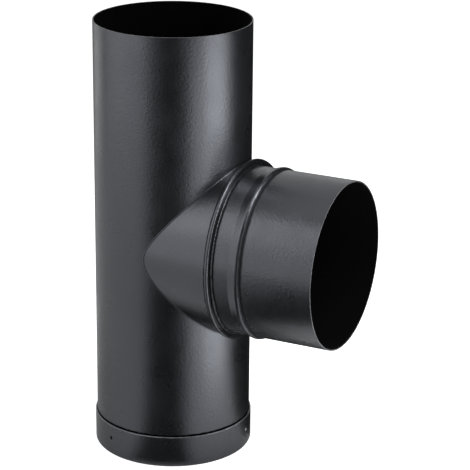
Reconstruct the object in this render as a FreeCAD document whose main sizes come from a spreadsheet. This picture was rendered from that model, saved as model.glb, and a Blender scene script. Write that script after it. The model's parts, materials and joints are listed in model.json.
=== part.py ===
import FreeCAD, Part
import os
import Sketcher

# Stove pipe tee of black sheet steel: an upright flue pipe, a branch joined to its side by a
# welded saddle and a folded seam, and a cup-shaped cap that closes the foot for cleaning.
# Lengths are in mm and angles in degrees. The origin is the centre of the cap's underside,
# +Z runs up the pipe and +X runs out along the branch.

OUT = "parts"
NEAR = 1e-3

SIZES = {
    "sheet": 1.2,
    "pipe_radius": 75.0,
    "pipe_top": 423.0,
    "branch_height": 209.0,
    "branch_reach": 180.5,
    "opening_lip": 4.0,
    "packing_gap": 3.8,
    "saddle_inset": 1.6,
    "saddle_step": 4.3,
    "roll_gap": 1.8,
    "roll_rise": 2.0,
    "roll_drop": 4.1,
    "roll_round": 1.5,
    "seam_slack": 0.3,
    "shoulder_rise": 1.6,
    "shoulder_width": 2.0,
    "bend": 0.6,
    "bead_gap": 27.8,
    "bead_rise": 2.6,
    "bead_slope": 9.0,
    "bead_foot": 3.2,
    "bead_round": 3.0,
    "cap_rim": 31.2,
    "cap_clearance": 0.5,
    "cap_bend": 1.6,
    "cap_seat_gap": 0.05,
    "rim_round": 0.5,
    "cap_turn": 6.0,
    "dimple_level": 17.8,
    "dimple_round": 2.4,
    "dimple_clearance": 0.05,
    "punch_round": 1.4,
    "punch_depth": 0.9,
    "dimple_count": 3.0,
}

doc = FreeCAD.newDocument("stove_pipe_tee")
sheet = doc.addObject("Spreadsheet::Sheet", "size")
for row, (name, value) in enumerate(SIZES.items(), 1):
    sheet.set("A%d" % row, name)
    sheet.set("B%d" % row, str(value))
    sheet.setAlias("B%d" % row, name)
doc.recompute()

# Lengths that several pieces share, as formulas of the sheet's cells.
COLLAR_BORE = "size.pipe_radius + size.packing_gap"
COLLAR_RADIUS = COLLAR_BORE + " + size.sheet"
ROLL_START = "size.pipe_radius + size.roll_gap"
SEAM_REACH = ROLL_START + " + 2 * size.sheet"
ROLL_END = SEAM_REACH + " + size.sheet"
BEAD_REACH = SEAM_REACH + " + size.bead_gap"
# The saddle widens evenly from the pipe's axis to the seam.
SADDLE_ROOT = "size.pipe_radius - size.saddle_inset"
SADDLE_RADIUS = COLLAR_RADIUS + " + size.saddle_step"
SADDLE_TAPER = "(%s - (%s)) / (%s)" % (SADDLE_RADIUS, SADDLE_ROOT, ROLL_START)
ROLL_RADIUS = SADDLE_RADIUS + " + size.roll_rise"
CAP_BORE = "size.pipe_radius + size.cap_clearance"
CAP_RADIUS = CAP_BORE + " + size.sheet"
# The pipe stands on the cap's rounded inner corner.
PIPE_FOOT = (
    "size.sheet + size.cap_seat_gap + size.cap_bend"
    " - sqrt(size.cap_bend ^ 2 - (size.cap_bend - size.cap_clearance) ^ 2)"
)
# A dimple is punched in until it all but touches the pipe, and the punch bites deeper than the sheet gives.
DIMPLE_CENTRE = "size.pipe_radius + size.dimple_clearance + size.dimple_round"
PUNCH_CENTRE = CAP_RADIUS + " - size.punch_depth + size.punch_round"


def value(formula):
    """What a formula of the sheet's cells comes to now."""
    return float(sheet.evalExpression(formula))


def new_body(label):
    """A body whose label names its file."""
    body = doc.addObject("PartDesign::Body", label)
    body.Label = label
    return body


def plane_of(body, role):
    """The body's own origin plane that has this role."""
    return next(item for item in body.Origin.OriginFeatures if item.Role == role)


def new_sketch(body, name, role):
    """An empty sketch on one of the body's origin planes."""
    sketch = body.newObject("Sketcher::SketchObject", name)
    sketch.AttachmentSupport = [(plane_of(body, role), "")]
    sketch.MapMode = "FlatFace"
    return sketch


def bind_point(sketch, geometry, position, x, y):
    """Hold a point of the sketch at two formulas, measured from the sketch's origin."""
    for kind, formula in (("DistanceX", x), ("DistanceY", y)):
        index = sketch.addConstraint(Sketcher.Constraint(kind, -1, 1, geometry, position, value(formula)))
        sketch.setExpression("Constraints[%d]" % index, formula)


def outline(body, name, role, corners):
    """A closed outline of straight lines whose corners are held at pairs of formulas."""
    sketch = new_sketch(body, name, role)
    points = [FreeCAD.Vector(value(x), value(y), 0) for x, y in corners]
    for here, there in zip(points, points[1:] + points[:1]):
        sketch.addGeometry(Part.LineSegment(here, there))
    for line in range(len(corners)):
        sketch.addConstraint(Sketcher.Constraint("Coincident", line, 2, (line + 1) % len(corners), 1))
    for line, (x, y) in enumerate(corners):
        bind_point(sketch, line, 1, x, y)
    return sketch


def add_circle(sketch, radius, y=None):
    """A circle on the sketch's vertical axis, at its origin or at a height given by a formula."""
    centre = FreeCAD.Vector(0, value(y) if y else 0, 0)
    circle = sketch.addGeometry(Part.Circle(centre, FreeCAD.Vector(0, 0, 1), value(radius)))
    if y:
        sketch.addConstraint(Sketcher.Constraint("PointOnObject", circle, 3, -2))
        index = sketch.addConstraint(Sketcher.Constraint("DistanceY", -1, 1, circle, 3, value(y)))
        sketch.setExpression("Constraints[%d]" % index, y)
    else:
        sketch.addConstraint(Sketcher.Constraint("Coincident", circle, 3, -1, 1))
    index = sketch.addConstraint(Sketcher.Constraint("Radius", circle, value(radius)))
    sketch.setExpression("Constraints[%d]" % index, radius)


def revolve(body, name, kind, profile, axis):
    """A full turn of a profile about one of its sketch axes."""
    feature = body.newObject(kind, name)
    feature.Profile = profile
    feature.ReferenceAxis = (profile, [axis])
    feature.Angle = 360.0
    doc.recompute()
    return feature


def round_rings(body, name, radius, rings):
    """Round the circular edges that lie at these pairs of place along the axis and radius."""
    base = body.Tip
    wanted = [(value(along), value(across)) for along, across in rings]
    names = []
    for number, edge in enumerate(base.Shape.Edges, 1):
        if not isinstance(edge.Curve, Part.Circle):
            continue
        centre = edge.Curve.Center
        along = max(abs(centre.x), abs(centre.z))
        if any(abs(along - a) < NEAR and abs(edge.Curve.Radius - r) < NEAR for a, r in wanted):
            names.append("Edge%d" % number)
    feature = body.newObject("PartDesign::Fillet", name)
    feature.Base = (base, names)
    feature.Radius = value(radius)
    feature.setExpression("Radius", radius)
    doc.recompute()
    return feature


def make_main_pipe():
    """The flue pipe, a rolled tube with a round opening in its side behind the branch."""
    body = new_body("main_pipe")
    ring = new_sketch(body, "pipe_section", "XY_Plane")
    add_circle(ring, "size.pipe_radius")
    add_circle(ring, "size.pipe_radius - size.sheet")
    ring.setExpression("AttachmentOffset.Base.z", PIPE_FOOT)
    tube = body.newObject("PartDesign::Pad", "pipe_tube")
    tube.Profile = ring
    tube.setExpression("Length", "size.pipe_top - (%s)" % PIPE_FOOT)
    doc.recompute()
    hole = new_sketch(body, "opening_outline", "YZ_Plane")
    add_circle(hole, "size.pipe_radius - size.sheet - size.opening_lip", "size.branch_height")
    opening = body.newObject("PartDesign::Pocket", "branch_opening")
    opening.Profile = hole
    opening.Type = "Length"
    opening.Reversed = True
    opening.setExpression("Length", "size.pipe_radius + size.sheet")
    doc.recompute()
    return body


def make_branch_saddle():
    """The cone between pipe and branch, its rim rolled into a channel over the collar's flange."""
    body = new_body("branch_saddle")
    inner_drop = " - size.sheet * sqrt(1 + (%s) ^ 2)" % SADDLE_TAPER
    channel_radius = ROLL_RADIUS + " - size.sheet"
    hook_end = ROLL_RADIUS + " - size.roll_drop"
    lip_radius = SADDLE_RADIUS + " + size.sheet * (%s)" % SADDLE_TAPER + inner_drop
    profile = outline(body, "saddle_profile", "XZ_Plane", [
        ("0", SADDLE_ROOT),
        (ROLL_START, SADDLE_RADIUS),
        (ROLL_START, ROLL_RADIUS),
        (ROLL_END, ROLL_RADIUS),
        (ROLL_END, hook_end),
        (SEAM_REACH, hook_end),
        (SEAM_REACH, channel_radius),
        (SEAM_REACH + " - size.sheet", channel_radius),
        (SEAM_REACH + " - size.sheet", lip_radius),
        ("0", SADDLE_ROOT + inner_drop),
    ])
    revolve(body, "saddle_shell", "PartDesign::Revolution", profile, "H_Axis")
    round_rings(body, "roll_foot", "size.bend", [(ROLL_START, SADDLE_RADIUS)])
    round_rings(body, "roll_crest", "size.roll_round", [(ROLL_START, ROLL_RADIUS), (ROLL_END, ROLL_RADIUS)])
    body.setExpression("Placement.Base.z", "size.branch_height")
    pipe_space = new_sketch(body, "pipe_outline", "XY_Plane")
    add_circle(pipe_space, "size.pipe_radius")
    mitre = body.newObject("PartDesign::Pocket", "pipe_mitre")
    mitre.Profile = pipe_space
    mitre.Type = "ThroughAll"
    mitre.Midplane = True
    doc.recompute()
    return body


def make_branch_collar():
    """The outer length of the branch: flange, shoulder, band, stiffening bead and plain socket."""
    body = new_body("branch_collar")
    flange_rim = ROLL_RADIUS + " - size.sheet - size.seam_slack"
    shoulder_radius = COLLAR_RADIUS + " + size.shoulder_rise"
    shoulder_end = ROLL_END + " + size.shoulder_width"
    bead_start = BEAD_REACH + " - size.bead_slope"
    bead_end = BEAD_REACH + " + size.bead_foot"
    bead_radius = COLLAR_RADIUS + " + size.bead_rise"
    profile = outline(body, "collar_profile", "XZ_Plane", [
        ("size.branch_reach", COLLAR_RADIUS),
        (bead_end, COLLAR_RADIUS),
        (BEAD_REACH, bead_radius),
        (bead_start, COLLAR_RADIUS),
        (shoulder_end, COLLAR_RADIUS),
        (shoulder_end, shoulder_radius),
        (SEAM_REACH, shoulder_radius),
        (SEAM_REACH, flange_rim),
        (SEAM_REACH + " - size.sheet", flange_rim),
        (SEAM_REACH + " - size.sheet", shoulder_radius + " - size.sheet"),
        (shoulder_end + " - size.sheet", shoulder_radius + " - size.sheet"),
        (shoulder_end + " - size.sheet", COLLAR_BORE),
        (bead_start, COLLAR_BORE),
        (BEAD_REACH, bead_radius + " - size.sheet"),
        (bead_end, COLLAR_BORE),
        ("size.branch_reach", COLLAR_BORE),
    ])
    revolve(body, "collar_shell", "PartDesign::Revolution", profile, "H_Axis")
    round_rings(body, "shoulder_edges", "size.bend", [
        (shoulder_end, shoulder_radius),
        (shoulder_end, COLLAR_RADIUS),
    ])
    round_rings(body, "bead_crest", "size.bead_round + size.sheet", [(BEAD_REACH, bead_radius)])
    round_rings(body, "bead_hollow", "size.bead_round", [(BEAD_REACH, bead_radius + " - size.sheet")])
    round_rings(body, "bead_start_round", "size.bead_round", [
        (bead_start, COLLAR_RADIUS),
        (bead_start, COLLAR_BORE),
    ])
    round_rings(body, "bead_foot_round", "size.bend", [(bead_end, COLLAR_RADIUS)])
    round_rings(body, "bead_foot_bend", "size.bend + size.sheet", [(bead_end, COLLAR_BORE)])
    body.setExpression("Placement.Base.z", "size.branch_height")
    doc.recompute()
    return body


def dimple_arc(body, name, radius, centre, chord):
    """Half of a ball's cap, from its tip on the level line out to a chord inside the wall."""
    sketch = new_sketch(body, name, "XZ_Plane")
    sketch.setExpression("AttachmentOffset.Base.y", "size.dimple_level")
    ball = value(radius)
    middle = value(centre)
    side = value(chord)
    reach = (ball ** 2 - (middle - side) ** 2) ** 0.5
    tip = FreeCAD.Vector(middle - ball, 0, 0)
    top = FreeCAD.Vector(side, reach, 0)
    foot = FreeCAD.Vector(side, 0, 0)
    between = FreeCAD.Vector((tip.x + side) / 2, 0, 0)
    between.y = (ball ** 2 - (middle - between.x) ** 2) ** 0.5
    arc = sketch.addGeometry(Part.Arc(tip, between, top))
    wall = sketch.addGeometry(Part.LineSegment(top, foot))
    level = sketch.addGeometry(Part.LineSegment(foot, tip))
    start, end = (1, 2) if sketch.getPoint(arc, 1).distanceToPoint(tip) < NEAR else (2, 1)
    sketch.addConstraint(Sketcher.Constraint("Coincident", arc, end, wall, 1))
    sketch.addConstraint(Sketcher.Constraint("Coincident", wall, 2, level, 1))
    sketch.addConstraint(Sketcher.Constraint("Coincident", level, 2, arc, start))
    sketch.addConstraint(Sketcher.Constraint("PointOnObject", arc, start, -1))
    sketch.addConstraint(Sketcher.Constraint("PointOnObject", arc, 3, -1))
    sketch.addConstraint(Sketcher.Constraint("PointOnObject", wall, 2, -1))
    sketch.addConstraint(Sketcher.Constraint("Vertical", wall))
    bound = [
        (Sketcher.Constraint("Radius", arc, ball), radius),
        (Sketcher.Constraint("DistanceX", -1, 1, arc, 3, middle), centre),
        (Sketcher.Constraint("DistanceX", -1, 1, arc, end, side), chord),
    ]
    for constraint, formula in bound:
        sketch.setExpression("Constraints[%d]" % sketch.addConstraint(constraint), formula)
    return sketch


def make_cleanout_cap():
    """The cup that slips over the foot of the pipe and grips it with pressed dimples."""
    body = new_body("cleanout_cap")
    wall = new_sketch(body, "cap_outline", "XY_Plane")
    add_circle(wall, CAP_RADIUS)
    blank = body.newObject("PartDesign::Pad", "cap_blank")
    blank.Profile = wall
    blank.setExpression("Length", "size.cap_rim")
    doc.recompute()
    bore = new_sketch(body, "cap_bore_outline", "XY_Plane")
    bore.setExpression("AttachmentOffset.Base.z", "size.sheet")
    add_circle(bore, CAP_BORE)
    hollow = body.newObject("PartDesign::Pocket", "cap_bore")
    hollow.Profile = bore
    hollow.Type = "Length"
    hollow.Reversed = True
    hollow.setExpression("Length", "size.cap_rim")
    doc.recompute()
    round_rings(body, "cap_outer_bend", "size.cap_bend + size.sheet", [("0", CAP_RADIUS)])
    round_rings(body, "cap_inner_bend", "size.cap_bend", [("size.sheet", CAP_BORE)])
    round_rings(body, "cap_rim_round", "size.rim_round", [("size.cap_rim", CAP_RADIUS)])
    bump_profile = dimple_arc(body, "dimple_bump_profile", "size.dimple_round", DIMPLE_CENTRE,
                              CAP_BORE + " + size.sheet / 3")
    bump = revolve(body, "dimple_bump", "PartDesign::Revolution", bump_profile, "H_Axis")
    dent_profile = dimple_arc(body, "dimple_dent_profile", "size.punch_round", PUNCH_CENTRE,
                              CAP_RADIUS + " + size.sheet / 12")
    dent = revolve(body, "dimple_dent", "PartDesign::Groove", dent_profile, "H_Axis")
    ring = body.newObject("PartDesign::PolarPattern", "dimples")
    ring.Originals = [bump, dent]
    ring.Axis = (wall, ["N_Axis"])
    ring.Angle = 360.0
    ring.Occurrences = int(value("size.dimple_count"))
    ring.setExpression("Occurrences", "size.dimple_count")
    body.Tip = ring
    body.setExpression("Placement.Rotation.Angle", "size.cap_turn")
    doc.recompute()
    return body


bodies = [make_main_pipe(), make_branch_saddle(), make_branch_collar(), make_cleanout_cap()]
doc.recompute()

for item in doc.Objects:
    if "Invalid" in item.State or "Error" in item.State:
        raise RuntimeError("%s failed: %s" % (item.Label, item.State))
for body in bodies:
    if body.Shape.isNull() or not body.Shape.isValid() or len(body.Shape.Solids) != 1:
        raise RuntimeError("%s is not one valid solid" % body.Label)

os.makedirs(OUT, exist_ok=True)
for body in bodies:
    body.Shape.exportStep(os.path.join(OUT, body.Label + ".step"))
    box = body.Shape.BoundBox
    print("%-14s volume %9.1f mm3  x %.1f..%.1f  y %.1f..%.1f  z %.1f..%.1f" % (
        body.Label, body.Shape.Volume, box.XMin, box.XMax, box.YMin, box.YMax, box.ZMin, box.ZMax))
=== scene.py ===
import json
import math
from collections import namedtuple

import bmesh
import bpy
from mathutils import Matrix, Vector


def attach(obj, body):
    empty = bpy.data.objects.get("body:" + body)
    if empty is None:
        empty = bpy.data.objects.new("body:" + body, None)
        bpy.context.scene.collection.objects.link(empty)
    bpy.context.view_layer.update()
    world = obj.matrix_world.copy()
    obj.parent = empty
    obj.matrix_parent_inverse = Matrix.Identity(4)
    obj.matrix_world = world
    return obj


# The looks of a black sheet steel stove pipe tee, in metres and in the CAD frame. Colours are linear.

Finish = namedtuple("Finish", "colour roughness metallic")
# A band of a finish along one axis: where it starts, is full, is last full and ends, the share of patches
# before it, and the most that it covers.
Band = namedtuple("Band", "axis start full last end patches most finish")
# A spot of a finish in the dimple at this heading.
Dimple = namedtuple("Dimple", "heading finish")
# A lamp: its heading and distance from the pipe's axis, its lowest and highest edge, its width and
# brightness, and the height on the axis that it faces.
SoftBox = namedtuple("SoftBox", "heading distance low high width brightness aim")

# Sizes of the pieces, as in the CAD model.
PIPE_RADIUS = 0.075
SHEET = 0.0012
SADDLE_ROOT = 0.0734
SADDLE_END = 0.0843
SADDLE_END_REACH = 0.0768
CAP_RADIUS = 0.0767
# Farther out than any face, for a piece that has no bare rim.
NO_RIM = 1.0

# The camera, as it stood to the object.
CAMERA_PLACE = (0.8707, -1.6399, 0.8594)
CAMERA_HEADING = 116.128
CAMERA_PITCH = -19.27
CAMERA_ROLL = 0.543
CAMERA_LENS = 156.27
CAMERA_SENSOR = 36.0

# The floor, with the light it adds for the camera and for gloss.
FLOOR_RADIUS = 4.0
FLOOR_DROP = 0.0002
FLOOR_SIDES = 96
FLOOR_GREY = 0.7
FLOOR_GLOW = 0.9
FLOOR_SHINE = 0.05

# The dark cards on the floor, each between two headings in degrees about the pipe from +X.
CARDS = ((255.0, 320.0), (14.0, 146.0))
CARD_SOFT = 14.0
CARD_STEPS = 12
CARD_LIFT = 0.0003
CARD_INNER = 0.084
CARD_OUTER = 3.9

# The room, by heading too: pale to gloss at the back left, and dark to it elsewhere.
WHITE = (1.0, 1.0, 1.0, 1.0)
PALE_FROM = 106.0
PALE_TO = 205.0
PALE_SOFT = 0.05
PALE_GREY = 0.7
DARK_GREY = 0.01
ROOM_LIGHT = 0.2

# The lamps: a wide key at the left, near ones at the right, and others overhead for the seam and the bead.
SOFT_BOXES = {
    "key_box_low": SoftBox(235.0, 1.2, 0.0, 0.7, 1.22, 1.37, 0.35),
    "key_box_high": SoftBox(233.0, 1.2, 0.7, 2.4, 1.0, 2.25, 1.55),
    "key_box_left": SoftBox(200.0, 1.2, 0.0, 2.6, 0.32, 0.93, 1.3),
    "key_box_right": SoftBox(270.0, 1.2, 0.0, 2.0, 0.3, 0.44, 1.0),
    "fill_box": SoftBox(165.0, 1.1, 0.0, 0.6, 0.6, 0.73, 0.3),
    "side_box": SoftBox(-6.0, 0.3, 0.0, 0.42, 0.16, 2.06, 0.21),
    "side_box_wide": SoftBox(-10.0, 0.3, 0.0, 0.36, 0.34, 1.27, 0.18),
    "side_box_middle": SoftBox(-6.0, 0.6, 0.36, 0.7, 0.3, 2.45, 0.53),
    "side_box_high": SoftBox(-6.0, 1.0, 0.7, 1.4, 0.4, 0.73, 0.25),
    "top_box": SoftBox(-50.0, 0.3, 1.2, 1.8, 0.6, 1.96, 0.25),
    "top_box_right": SoftBox(8.0, 0.6, 1.15, 1.65, 0.5, 9.0, 0.25),
    "glint_box": SoftBox(0.0, 1.0, 1.15, 1.5, 0.35, 16.0, 0.27),
}

# Black stove paint. A span is the part of a noise pattern's values that is spread from nothing to all.
PAINT_DEEP = (0.0056, 0.0058, 0.0064, 1.0)
PAINT_WORN = (0.0084, 0.0086, 0.0096, 1.0)
PAINT_TINT = (0.86, 0.90, 1.0, 1.0)
PAINT_IOR = 1.8
PAINT_SPAN = (0.35, 0.65)
PAINT_SHEEN = (0.27, 0.33)
PATCH_SCALE = 16.0
PATCH_DETAIL = 4.0
PATCH_SPAN = (0.4, 0.7)
SHEEN_SCALE = 45.0
PLAIN_DETAIL = 2.0
GRAIN_SCALE = 900.0
GRAIN_DETAIL = 3.0
GRAIN_HEIGHT = 0.00008
SPRAY_SCALE = 430.0
SPRAY_HEIGHT = 0.00018

# Marks on the paint. Painted shade, and on the pipe's foot also soot, counts as metal so that it has no gloss
# of its own.
PAINTED_SHADE_AND_SOOT = Finish((0.0012, 0.0012, 0.0012, 1.0), 0.8, 1.0)
# Painted highlight: a lighter finish for the light line along the cap's rim.
PAINTED_RIM_HIGHLIGHT = Finish((0.1, 0.102, 0.11, 1.0), 0.3, 0.0)
# Painted glint: a lighter, partly metallic spot in one of the cap's dimples.
PAINTED_GLINT = Finish((0.3, 0.31, 0.33, 1.0), 0.35, 0.6)
BANDS = {
    # Soot in patches on the pipe's foot under the cap, and a ring of painted shade just above the cap's rim.
    "main_pipe": [Band("Z", 0.027, 0.031, 0.0325, 0.0335, 0.8, 1.0, PAINTED_SHADE_AND_SOOT)],
    # Painted highlight along the cap's rim.
    "cleanout_cap": [Band("Z", 0.0303, 0.0309, 0.05, 0.06, 0.0, 1.0, PAINTED_RIM_HIGHLIGHT)],
    # Painted shade in the corner before the seam's roll.
    "branch_saddle": [Band("X", 0.0750, 0.0758, 0.0768, 0.0772, 0.0, 0.8, PAINTED_SHADE_AND_SOOT)],
    # Painted shade in the corners behind the seam and at the bead's foot.
    "branch_collar": [
        Band("X", 0.0821, 0.0825, 0.0834, 0.0842, 0.0, 0.8, PAINTED_SHADE_AND_SOOT),
        Band("X", 0.1083, 0.1093, 0.1111, 0.1130, 0.0, 0.75, PAINTED_SHADE_AND_SOOT),
    ],
}
BAND_SCALE = 150.0
BAND_SPAN = (0.3, 0.7)
BAND_WAVE = 0.0003
# Painted shade in two of the dimples, and a painted glint in the third.
DIMPLES = {"cleanout_cap": [Dimple(246.0, PAINTED_SHADE_AND_SOOT), Dimple(126.0, PAINTED_SHADE_AND_SOOT), Dimple(6.0, PAINTED_GLINT)]}
DIMPLE_HEIGHT = 0.0178
DIMPLE_MOST = 0.9
DIMPLE_SPOT = (0.0015, 0.0022)

# The inside of the sheet, in painted shade: near black, with its gloss nearly taken away. Its faces look
# towards the axis by more than the limit.
INSIDE_SHADE = (0.0002, 0.0002, 0.0002, 1.0)
INSIDE_DUST = (0.0008, 0.0008, 0.0009, 1.0)
INSIDE_GLOSS = 0.05
INSIDE_ROUGHNESS = (0.9, 1.0)
INSIDE_LIMIT = -0.002

# A cut edge. Its faces look along the axis by more than the limit.
EDGE_PAINT = (0.04, 0.041, 0.044, 1.0)
EDGE_STEEL = (0.2, 0.204, 0.216, 1.0)
EDGE_SCALE = 420.0
EDGE_SPAN = (0.56, 0.66)
EDGE_ROUGHNESS = (0.5, 0.34)
EDGE_METALLIC = (0.0, 0.7)
EDGE_LIMIT = 0.9

WELD_RADIUS = 0.0007
WELD_RIPPLE = 0.08
WELD_PITCH = 0.0022
WELD_STEPS = 900
WELD_SIDES = 10


def grey(level):
    """A grey of this level."""
    return (level, level, level, 1.0)


def new_object(name, shape):
    """An object in the scene with this shape as its mesh."""
    mesh = bpy.data.meshes.new(name)
    shape.to_mesh(mesh)
    shape.free()
    made = bpy.data.objects.new(name, mesh)
    bpy.context.collection.objects.link(made)
    return made


def new_material(name):
    """An empty node material: itself, its nodes, its links and its output."""
    material = bpy.data.materials.new(name)
    material.use_nodes = True
    nodes = material.node_tree.nodes
    nodes.clear()
    output = nodes.new("ShaderNodeOutputMaterial")
    return material, nodes, material.node_tree.links, output


def new_finish(name):
    """A material of one shader: itself, its nodes, its links, the place on the object and the shader."""
    material, nodes, links, output = new_material(name)
    place = nodes.new("ShaderNodeTexCoord").outputs["Object"]
    paint = nodes.new("ShaderNodeBsdfPrincipled")
    links.new(paint.outputs["BSDF"], output.inputs["Surface"])
    return material, nodes, links, place, paint


def feed(links, socket, value):
    """Link another socket to this one, or set it to a plain value."""
    if isinstance(value, bpy.types.NodeSocket):
        links.new(value, socket)
    else:
        socket.default_value = value


def add_step(nodes, links, kind, operation, *values):
    """One step of a maths node of this kind."""
    step = nodes.new(kind)
    step.operation = operation
    for socket, value in zip(step.inputs, values):
        feed(links, socket, value)
    return step


def add_math(nodes, links, operation, *values):
    """One step of arithmetic."""
    return add_step(nodes, links, "ShaderNodeMath", operation, *values).outputs[0]


def add_parts(nodes, links, place):
    """The three parts of a place."""
    parts = nodes.new("ShaderNodeSeparateXYZ")
    links.new(place, parts.inputs[0])
    return parts.outputs


def add_heading(nodes, links, place):
    """The heading of a place about the upright axis."""
    parts = add_parts(nodes, links, place)
    return add_math(nodes, links, "ARCTAN2", parts["Y"], parts["X"])


def add_noise(nodes, links, place, scale, detail=PLAIN_DETAIL):
    """A noise pattern laid out in the object's own metres."""
    noise = nodes.new("ShaderNodeTexNoise")
    noise.inputs["Scale"].default_value = scale
    noise.inputs["Detail"].default_value = detail
    links.new(place, noise.inputs["Vector"])
    return noise.outputs["Fac"]


def add_range(nodes, links, value, start, end, low=0.0, high=1.0):
    """Carry a value from one range to another, and hold it at the ends."""
    spread = nodes.new("ShaderNodeMapRange")
    for name, number in (("From Min", start), ("From Max", end), ("To Min", low), ("To Max", high)):
        spread.inputs[name].default_value = number
    links.new(value, spread.inputs["Value"])
    return spread.outputs["Result"]


def add_mix(nodes, links, kind, share, first, second):
    """A colour or a number between two others."""
    mix = nodes.new("ShaderNodeMix")
    mix.data_type = kind
    for name, value in (("Factor", share), ("A", first), ("B", second)):
        feed(links, mix.inputs[name], value)
    return mix.outputs["Result"]


def mix_shaders(nodes, links, share, first, second):
    """A shader between two others."""
    mix = nodes.new("ShaderNodeMixShader")
    for socket, source in zip(mix.inputs, (share, first, second)):
        links.new(source, socket)
    return mix.outputs[0]


def add_bump(nodes, links, height, distance, under=None):
    """A bump of this height in metres, laid over another one if it is given."""
    bump = nodes.new("ShaderNodeBump")
    bump.inputs["Distance"].default_value = distance
    links.new(height, bump.inputs["Height"])
    if under:
        links.new(under, bump.inputs["Normal"])
    return bump.outputs["Normal"]


def lay_over(nodes, links, share, over, under):
    """Lay one finish over another by this share."""
    colour = add_mix(nodes, links, "RGBA", share, under.colour, over.colour)
    roughness = add_mix(nodes, links, "FLOAT", share, under.roughness, over.roughness)
    metallic = add_math(nodes, links, "MULTIPLY", share, over.metallic)
    return Finish(colour, roughness, add_math(nodes, links, "MAXIMUM", metallic, under.metallic))


def add_band(nodes, links, place, band, under):
    """Lay a band with slightly uneven edges over the finish under it."""
    edge_noise = add_noise(nodes, links, place, BAND_SCALE)
    wave = add_range(nodes, links, edge_noise, *BAND_SPAN, -BAND_WAVE, BAND_WAVE)
    along = add_math(nodes, links, "ADD", add_parts(nodes, links, place)[band.axis], wave)
    patch_noise = add_noise(nodes, links, place, SHEEN_SCALE, PATCH_DETAIL)
    patches = add_range(nodes, links, patch_noise, *PATCH_SPAN, 0.0, band.patches)
    start = add_range(nodes, links, along, band.start, band.full)
    rise = add_math(nodes, links, "MAXIMUM", start, patches)
    fall = add_range(nodes, links, along, band.end, band.last)
    share = add_math(nodes, links, "MULTIPLY", add_math(nodes, links, "MINIMUM", rise, fall), band.most)
    return lay_over(nodes, links, share, band.finish, under)


def add_dimple(nodes, links, place, dimple, under):
    """Lay a small spot in one of the cap's dimples over the finish under it."""
    turn = math.radians(dimple.heading)
    centre = (CAP_RADIUS * math.cos(turn), CAP_RADIUS * math.sin(turn), DIMPLE_HEIGHT)
    away = add_step(nodes, links, "ShaderNodeVectorMath", "DISTANCE", place, centre).outputs["Value"]
    share = add_range(nodes, links, away, *DIMPLE_SPOT, DIMPLE_MOST, 0.0)
    return lay_over(nodes, links, share, dimple.finish, under)


def make_paint(name, bands=(), dimples=()):
    """Satin stove paint: a sprayed grain, slow patches in its colour and sheen, and the marks given."""
    material, nodes, links, place, paint = new_finish(name)
    paint.inputs["Specular Tint"].default_value = PAINT_TINT
    paint.inputs["IOR"].default_value = PAINT_IOR
    worn = add_range(nodes, links, add_noise(nodes, links, place, PATCH_SCALE, PATCH_DETAIL), *PAINT_SPAN)
    colour = add_mix(nodes, links, "RGBA", worn, PAINT_DEEP, PAINT_WORN)
    sheen = add_range(nodes, links, add_noise(nodes, links, place, SHEEN_SCALE), *PAINT_SPAN, *PAINT_SHEEN)
    look = Finish(colour, sheen, 0.0)
    for band in bands:
        look = add_band(nodes, links, place, band, look)
    for dimple in dimples:
        look = add_dimple(nodes, links, place, dimple, look)
    feed(links, paint.inputs["Base Color"], look.colour)
    feed(links, paint.inputs["Roughness"], look.roughness)
    feed(links, paint.inputs["Metallic"], look.metallic)
    spray = add_bump(nodes, links, add_noise(nodes, links, place, SPRAY_SCALE), SPRAY_HEIGHT)
    grain = add_noise(nodes, links, place, GRAIN_SCALE, GRAIN_DETAIL)
    links.new(add_bump(nodes, links, grain, GRAIN_HEIGHT, spray), paint.inputs["Normal"])
    return material


def make_inside_shade():
    """The inside of the sheet in painted shade: near black and dull, with a breath of dust."""
    material, nodes, links, place, paint = new_finish("inside_painted_shade")
    paint.inputs["Specular IOR Level"].default_value = INSIDE_GLOSS
    dust = add_range(nodes, links, add_noise(nodes, links, place, PATCH_SCALE, PATCH_DETAIL), *PATCH_SPAN)
    links.new(add_mix(nodes, links, "RGBA", dust, INSIDE_SHADE, INSIDE_DUST), paint.inputs["Base Color"])
    links.new(add_range(nodes, links, dust, 0.0, 1.0, *INSIDE_ROUGHNESS), paint.inputs["Roughness"])
    grain = add_noise(nodes, links, place, GRAIN_SCALE)
    links.new(add_bump(nodes, links, grain, GRAIN_HEIGHT), paint.inputs["Normal"])
    return material


def make_cut_edge():
    """A cut edge: thin paint, worn through to the steel in small spots."""
    material, nodes, links, place, paint = new_finish("cut_edge")
    wear = add_range(nodes, links, add_noise(nodes, links, place, EDGE_SCALE, PATCH_DETAIL), *EDGE_SPAN)
    links.new(add_mix(nodes, links, "RGBA", wear, EDGE_PAINT, EDGE_STEEL), paint.inputs["Base Color"])
    links.new(add_range(nodes, links, wear, 0.0, 1.0, *EDGE_ROUGHNESS), paint.inputs["Roughness"])
    links.new(add_range(nodes, links, wear, 0.0, 1.0, *EDGE_METALLIC), paint.inputs["Metallic"])
    grain = add_noise(nodes, links, place, GRAIN_SCALE)
    links.new(add_bump(nodes, links, grain, GRAIN_HEIGHT), paint.inputs["Normal"])
    return material


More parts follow.
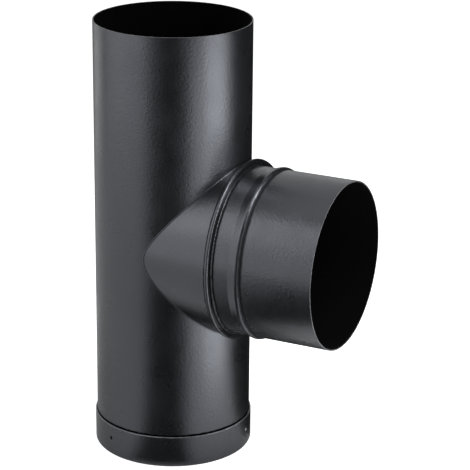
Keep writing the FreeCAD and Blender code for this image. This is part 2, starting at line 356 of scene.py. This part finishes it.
def finish_faces(node, axis, centre, rim, inside, edge):
    """Give the node's inner faces and its cut rim their own finish, by their place and the way they face."""
    tree = bpy.data.node_groups.new(node.name + "_finish", "GeometryNodeTree")
    tree.interface.new_socket("Geometry", in_out="INPUT", socket_type="NodeSocketGeometry")
    tree.interface.new_socket("Geometry", in_out="OUTPUT", socket_type="NodeSocketGeometry")
    nodes, links = tree.nodes, tree.links
    facing = nodes.new("GeometryNodeInputNormal").outputs["Normal"]
    place = nodes.new("GeometryNodeInputPosition").outputs[0]

    def add_vector_math(operation, first, second):
        return add_step(nodes, links, "ShaderNodeVectorMath", operation, first, second)

    def compare_dot(operation, first, second, limit):
        step = nodes.new("FunctionNodeCompare")
        step.operation = operation
        links.new(add_vector_math("DOT_PRODUCT", first, second).outputs["Value"], step.inputs[0])
        step.inputs[1].default_value = limit
        return step.outputs[0]

    def set_material(geometry, selection, material):
        step = nodes.new("GeometryNodeSetMaterial")
        links.new(geometry, step.inputs["Geometry"])
        links.new(selection, step.inputs["Selection"])
        step.inputs["Material"].default_value = material
        return step.outputs[0]

    across = tuple(1.0 - abs(part) for part in axis)
    from_centre = add_vector_math("SUBTRACT", place, centre).outputs["Vector"]
    outward = add_vector_math("MULTIPLY", from_centre, across).outputs["Vector"]
    inner = compare_dot("LESS_THAN", outward, facing, INSIDE_LIMIT)
    ahead = compare_dot("GREATER_THAN", facing, axis, EDGE_LIMIT)
    beyond = compare_dot("GREATER_THAN", place, axis, rim)
    on_rim = add_step(nodes, links, "FunctionNodeBooleanMath", "AND", ahead, beyond).outputs[0]
    shaped = set_material(nodes.new("NodeGroupInput").outputs[0], inner, inside)
    shaped = set_material(shaped, on_rim, edge)
    links.new(shaped, nodes.new("NodeGroupOutput").inputs[0])
    node.modifiers.new("finish_faces", "NODES").node_group = tree


def paint_nodes(nodes, top, mouth):
    """Every CAD node gets its paint outside, painted shade inside and the cut edge at its rim."""
    for name, node in nodes.items():
        paint = make_paint(name + "_paint", BANDS[name], DIMPLES.get(name, ()))
        for slot in node.material_slots:
            slot.material = paint
    inside, edge = make_inside_shade(), make_cut_edge()
    up, out = (0.0, 0.0, 1.0), (1.0, 0.0, 0.0)
    base, branch = (0.0, 0.0, 0.0), (0.0, 0.0, mouth[2])
    finish_faces(nodes["main_pipe"], up, base, top[2] - SHEET, inside, edge)
    finish_faces(nodes["cleanout_cap"], up, base, NO_RIM, inside, edge)
    finish_faces(nodes["branch_saddle"], out, branch, NO_RIM, inside, edge)
    finish_faces(nodes["branch_collar"], out, branch, mouth[0] - SHEET, inside, edge)


def crease_point(turn, height):
    """The place on the crease between saddle and pipe at this turn about the branch's axis."""
    across = math.cos(turn)
    taper = (SADDLE_END - SADDLE_ROOT) / SADDLE_END_REACH
    square = 1.0 + (taper * across) ** 2
    slope = 2.0 * SADDLE_ROOT * taper * across ** 2
    rest = (SADDLE_ROOT * across) ** 2 - PIPE_RADIUS ** 2
    x = (-slope + math.sqrt(slope ** 2 - 4.0 * square * rest)) / (2.0 * square)
    radius = SADDLE_ROOT + taper * x
    return Vector((x, radius * across, height + radius * math.sin(turn)))


def make_weld(height):
    """The thin weld that runs round the crease, with the ripple of its passes."""
    shape = bmesh.new()
    rings = []
    travelled = 0.0
    points = [crease_point(2.0 * math.pi * step / WELD_STEPS, height) for step in range(WELD_STEPS)]
    for step, point in enumerate(points):
        ahead = points[(step + 1) % WELD_STEPS] - points[step - 1]
        travelled += (point - points[step - 1]).length
        along = ahead.normalized()
        out = Vector((point.x, point.y, 0.0)).normalized()
        side = along.cross(out).normalized()
        lift = side.cross(along)
        radius = WELD_RADIUS * (1.0 + WELD_RIPPLE * math.sin(2.0 * math.pi * travelled / WELD_PITCH))
        ring = []
        for corner in range(WELD_SIDES):
            angle = 2.0 * math.pi * corner / WELD_SIDES
            ring.append(shape.verts.new(point + radius * (math.cos(angle) * side + math.sin(angle) * lift)))
        rings.append(ring)
    for ring, following in zip(rings, rings[1:] + rings[:1]):
        for corner in range(WELD_SIDES):
            after = (corner + 1) % WELD_SIDES
            face = shape.faces.new((ring[corner], ring[after], following[after], following[corner]))
            face.smooth = True
    bmesh.ops.recalc_face_normals(shape, faces=shape.faces)
    weld = new_object("saddle_weld", shape)
    weld.data.materials.append(make_paint("stove_paint"))
    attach(weld, "tee")


def place_camera():
    """The camera at the photograph's angle."""
    data = bpy.data.cameras.new("camera")
    data.lens = CAMERA_LENS
    data.sensor_width = CAMERA_SENSOR
    data.sensor_fit = "HORIZONTAL"
    camera = bpy.data.objects.new("camera", data)
    bpy.context.collection.objects.link(camera)
    heading = math.radians(CAMERA_HEADING)
    pitch = math.radians(CAMERA_PITCH)
    roll = math.radians(CAMERA_ROLL)
    forward = Vector((
        math.cos(pitch) * math.cos(heading),
        math.cos(pitch) * math.sin(heading),
        math.sin(pitch),
    ))
    level = forward.cross(Vector((0, 0, 1))).normalized()
    upright = level.cross(forward)
    right = math.cos(roll) * level + math.sin(roll) * upright
    up = -math.sin(roll) * level + math.cos(roll) * upright
    turn = Matrix((right, up, -forward)).transposed()
    camera.matrix_world = Matrix.Translation(CAMERA_PLACE) @ turn.to_4x4()
    bpy.context.scene.camera = camera


def pick_by_ray(nodes, links, rest, seen, output):
    """Use one shader where the camera, a mirror or a glass looks, and the rest for all other light."""
    path = nodes.new("ShaderNodeLightPath")
    share = path.outputs["Is Camera Ray"]
    for ray in ("Is Glossy Ray", "Is Transmission Ray"):
        share = add_math(nodes, links, "MAXIMUM", share, path.outputs[ray])
    links.new(mix_shaders(nodes, links, share, rest, seen), output.inputs["Surface"])


def make_floor():
    """A plain pale floor that is white to the camera, and still takes the object's shadow."""
    shape = bmesh.new()
    bmesh.ops.create_circle(shape, cap_ends=True, radius=FLOOR_RADIUS, segments=FLOOR_SIDES)
    bmesh.ops.translate(shape, verts=shape.verts, vec=(0, 0, -FLOOR_DROP))
    floor = new_object("floor", shape)
    material, nodes, links, output = new_material("floor_white")
    surface = nodes.new("ShaderNodeBsdfDiffuse")
    surface.inputs["Color"].default_value = grey(FLOOR_GREY)
    glow = nodes.new("ShaderNodeEmission")
    camera_ray = nodes.new("ShaderNodeLightPath").outputs["Is Camera Ray"]
    strength = add_range(nodes, links, camera_ray, 0.0, 1.0, FLOOR_SHINE, FLOOR_GLOW)
    links.new(strength, glow.inputs["Strength"])
    both = nodes.new("ShaderNodeAddShader")
    links.new(surface.outputs[0], both.inputs[0])
    links.new(glow.outputs[0], both.inputs[1])
    pick_by_ray(nodes, links, surface.outputs[0], both.outputs[0], output)
    floor.data.materials.append(material)


def make_card(name, start, end):
    """A dark card with soft edges on the floor between two headings, there for gloss alone."""
    shape = bmesh.new()
    rows = []
    half = math.radians((end - start) / 2.0)
    for step in range(CARD_STEPS + 1):
        turn = half * (2.0 * step / CARD_STEPS - 1.0)
        rows.append([
            shape.verts.new((reach * math.cos(turn), reach * math.sin(turn), CARD_LIFT))
            for reach in (CARD_INNER, CARD_OUTER)
        ])
    for here, there in zip(rows, rows[1:]):
        shape.faces.new((here[0], here[1], there[1], there[0]))
    card = new_object(name, shape)
    card.rotation_euler.z = math.radians((start + end) / 2.0)
    material, nodes, links, output = new_material(name)
    surface = nodes.new("ShaderNodeBsdfDiffuse")
    surface.inputs["Color"].default_value = grey(DARK_GREY)
    nothing = nodes.new("ShaderNodeBsdfTransparent")
    heading = add_heading(nodes, links, nodes.new("ShaderNodeTexCoord").outputs["Object"])
    off_middle = add_math(nodes, links, "ABSOLUTE", heading)
    fade = add_range(nodes, links, off_middle, half - math.radians(CARD_SOFT), half)
    faded = mix_shaders(nodes, links, fade, surface.outputs[0], nothing.outputs[0])
    links.new(faded, output.inputs["Surface"])
    card.data.materials.append(material)
    card.visible_camera = False
    card.visible_diffuse = False
    card.visible_shadow = False


def make_soft_box(name, box):
    """A lamp that lights the object and isn't seen by the camera."""
    height = box.high - box.low
    data = bpy.data.lights.new(name, "AREA")
    data.shape = "RECTANGLE"
    data.size = box.width
    data.size_y = height
    data.energy = box.brightness * math.pi * box.width * height
    lamp = bpy.data.objects.new(name, data)
    bpy.context.collection.objects.link(lamp)
    turn = math.radians(box.heading)
    away = Vector((math.cos(turn), math.sin(turn), 0.0))
    lamp.location = away * box.distance + Vector((0.0, 0.0, (box.low + box.high) / 2.0))
    lamp.rotation_euler = (Vector((0.0, 0.0, box.aim)) - lamp.location).to_track_quat("-Z", "Y").to_euler()
    lamp.visible_camera = False


def make_world():
    """A dim studio that is white to the camera, and to gloss pale at the back left and dark elsewhere."""
    world = bpy.data.worlds.new("studio")
    world.use_nodes = True
    nodes, links = world.node_tree.nodes, world.node_tree.links
    nodes.clear()
    output = nodes.new("ShaderNodeOutputWorld")
    room = nodes.new("ShaderNodeBackground")
    room.inputs["Strength"].default_value = ROOM_LIGHT
    heading = add_heading(nodes, links, nodes.new("ShaderNodeTexCoord").outputs["Generated"])
    off_middle = add_math(nodes, links, "SUBTRACT", heading, math.radians((PALE_FROM + PALE_TO) / 2.0))
    nearness = add_math(nodes, links, "COSINE", off_middle)
    edge = math.cos(math.radians((PALE_TO - PALE_FROM) / 2.0))
    share = add_range(nodes, links, nearness, edge - PALE_SOFT, edge + PALE_SOFT)
    gloss = add_mix(nodes, links, "RGBA", share, grey(DARK_GREY), grey(PALE_GREY))
    camera_ray = nodes.new("ShaderNodeLightPath").outputs["Is Camera Ray"]
    seen = nodes.new("ShaderNodeBackground")
    links.new(add_mix(nodes, links, "RGBA", camera_ray, gloss, WHITE), seen.inputs["Color"])
    pick_by_ray(nodes, links, room.outputs[0], seen.outputs[0], output)
    bpy.context.scene.world = world


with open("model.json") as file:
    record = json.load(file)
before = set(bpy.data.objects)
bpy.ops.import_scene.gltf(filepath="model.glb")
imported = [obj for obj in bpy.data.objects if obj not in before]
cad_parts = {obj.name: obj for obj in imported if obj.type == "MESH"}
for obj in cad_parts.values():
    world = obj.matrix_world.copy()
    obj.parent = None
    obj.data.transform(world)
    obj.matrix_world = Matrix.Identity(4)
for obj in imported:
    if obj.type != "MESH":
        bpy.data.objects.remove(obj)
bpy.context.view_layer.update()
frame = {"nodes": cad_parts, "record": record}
places = {mount["name"]: mount["pos_m"] for mount in frame["record"]["mounts"]}
place_camera()
make_floor()
for number, headings in enumerate(CARDS, 1):
    make_card("dark_card_%d" % number, *headings)
for box_name, soft_box in SOFT_BOXES.items():
    make_soft_box(box_name, soft_box)
make_world()
paint_nodes(frame["nodes"], places["top_socket"], places["branch_socket"])
make_weld(places["branch_socket"][2])
bpy.context.scene.view_settings.view_transform = "Standard"
